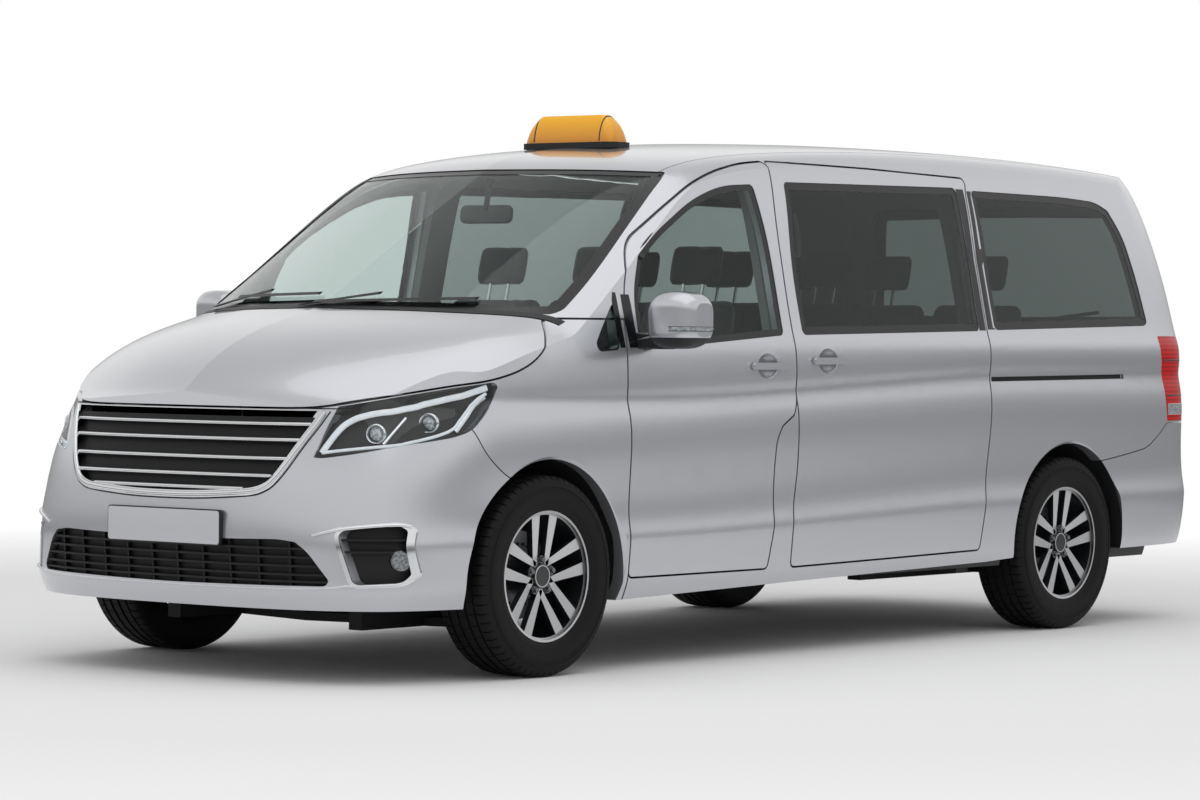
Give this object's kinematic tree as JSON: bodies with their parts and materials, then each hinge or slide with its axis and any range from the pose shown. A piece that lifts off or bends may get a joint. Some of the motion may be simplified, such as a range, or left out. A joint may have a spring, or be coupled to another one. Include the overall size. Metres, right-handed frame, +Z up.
{
  "type": "people-carrier taxi",
  "caption": "Long-wheelbase people-carrier taxi: hollow panelled body with glass and seats, opening front doors, bonnet and tailgate, steered and rolling wheels.",
  "frame": {"origin": "on the ground, at the middle of the car in length and width", "axes": "+X to the car's left, -Y forward, +Z up"},
  "size_m": [2.381, 5.1397, 1.9658],
  "materials": {
    "body_paint": "silver metallic paint",
    "chrome_trim": "polished",
    "black_plastic": "moulded, satin",
    "lamp_clear": "clear moulded lens",
    "lamp_red": "moulded red lens",
    "tinted_glass": "green-grey tint",
    "underbody": "dull coating",
    "inner_trim": "grained",
    "seat_cloth": "dark grey cloth",
    "steel_parts": "black-painted steel",
    "cast_parts": "cast",
    "sign_amber": "moulded amber plastic",
    "tyre": "rubber",
    "wheel_alloy": "machined face, clear coated"
  },
  "bodies": {
    "root": {"front_bumper": "body_paint", "front_wings": "body_paint", "sliding_door_left": "body_paint", "sliding_door_right": "body_paint", "side_frame_left": "body_paint", "side_frame_right": "body_paint", "roof_panel": "body_paint", "rear_bumper": "body_paint", "front_grille": "black_plastic", "lower_grille": "black_plastic", "fog_lamps": "lamp_clear", "headlamps": "lamp_clear", "tail_lamps": "lamp_red", "windscreen": "tinted_glass", "side_windows": "tinted_glass", "wheel_housings": "black_plastic", "floor_pan": "underbody", "door_pillars": "inner_trim", "dashboard": "inner_trim", "driver_seat": "seat_cloth", "passenger_seats": "seat_cloth", "middle_seats": "seat_cloth", "rear_seats": "seat_cloth", "front_axle": "steel_parts", "rear_axle": "steel_parts", "engine_block": "cast_parts", "taxi_sign": "sign_amber", "grille_frame": "chrome_trim", "fog_trims": "chrome_trim", "fog_bezels": "black_plastic", "cowl_panel": "black_plastic", "wipers": "black_plastic", "sign_base": "black_plastic"},
    "bonnet": {"bonnet": "body_paint"},
    "door_left": {"door_left": "body_paint", "door_glass_left": "tinted_glass", "mirror_left": "body_paint"},
    "door_right": {"door_right": "body_paint", "door_glass_right": "tinted_glass", "mirror_right": "body_paint"},
    "tailgate": {"tailgate": "body_paint", "tailgate_glass": "tinted_glass"},
    "knuckle_left": {"knuckle_left": "cast_parts"},
    "knuckle_right": {"knuckle_right": "cast_parts"},
    "wheel_fl": {"tyre_fl": "tyre", "rim_fl": "wheel_alloy"},
    "wheel_fr": {"tyre_fr": "tyre", "rim_fr": "wheel_alloy"},
    "wheel_rl": {"tyre_rl": "tyre", "rim_rl": "wheel_alloy"},
    "wheel_rr": {"tyre_rr": "tyre", "rim_rr": "wheel_alloy"},
    "steering_wheel": {"steering_wheel": "inner_trim"}
  },
  "joints": [
    {"name": "bonnet_hinge", "type": "hinge", "parent": "root", "child": "bonnet", "pos_m": [0, -1.57284, 1.19731], "axis": [-1, 0, 0], "range_deg": [0, 50]},
    {"name": "door_left_hinge", "type": "hinge", "parent": "root", "child": "door_left", "pos_m": [0.96304, -1.25853, 0.8], "axis": [0, 0, -1], "range_deg": [0, 70]},
    {"name": "door_right_hinge", "type": "hinge", "parent": "root", "child": "door_right", "pos_m": [-0.96304, -1.25853, 0.8], "axis": [0, 0, 1], "range_deg": [0, 70]},
    {"name": "tailgate_hinge", "type": "hinge", "parent": "root", "child": "tailgate", "pos_m": [0, 2.35823, 1.80174], "axis": [1, 0, 0], "range_deg": [0, 85]},
    {"name": "steer_left", "type": "hinge", "parent": "root", "child": "knuckle_left", "pos_m": [0.745, -1.675, 0.34], "axis": [0, 0, 1], "range_deg": [-35, 35]},
    {"name": "steer_right", "type": "hinge", "parent": "root", "child": "knuckle_right", "pos_m": [-0.745, -1.675, 0.34], "axis": [0, 0, 1], "range_deg": [-35, 35]},
    {"name": "wheel_fl_spin", "type": "hinge", "parent": "knuckle_left", "child": "wheel_fl", "pos_m": [0.833, -1.675, 0.34], "axis": [1, 0, 0], "continuous": true},
    {"name": "wheel_fr_spin", "type": "hinge", "parent": "knuckle_right", "child": "wheel_fr", "pos_m": [-0.833, -1.675, 0.34], "axis": [1, 0, 0], "continuous": true},
    {"name": "wheel_rl_spin", "type": "hinge", "parent": "root", "child": "wheel_rl", "pos_m": [0.823, 1.525, 0.34], "axis": [1, 0, 0], "continuous": true},
    {"name": "wheel_rr_spin", "type": "hinge", "parent": "root", "child": "wheel_rr", "pos_m": [-0.823, 1.525, 0.34], "axis": [1, 0, 0], "continuous": true},
    {"name": "steering_column", "type": "hinge", "parent": "root", "child": "steering_wheel", "pos_m": [-0.42416, -0.94842, 1.06503], "axis": [0, 0.8829, 0.4695], "range_deg": [-500, 500]}
  ],
  "couplings": [
    {"joint": "steer_right", "follows": "steer_left", "ratio": 1},
    {"joint": "steering_column", "follows": "steer_left", "ratio": 14}
  ]
}
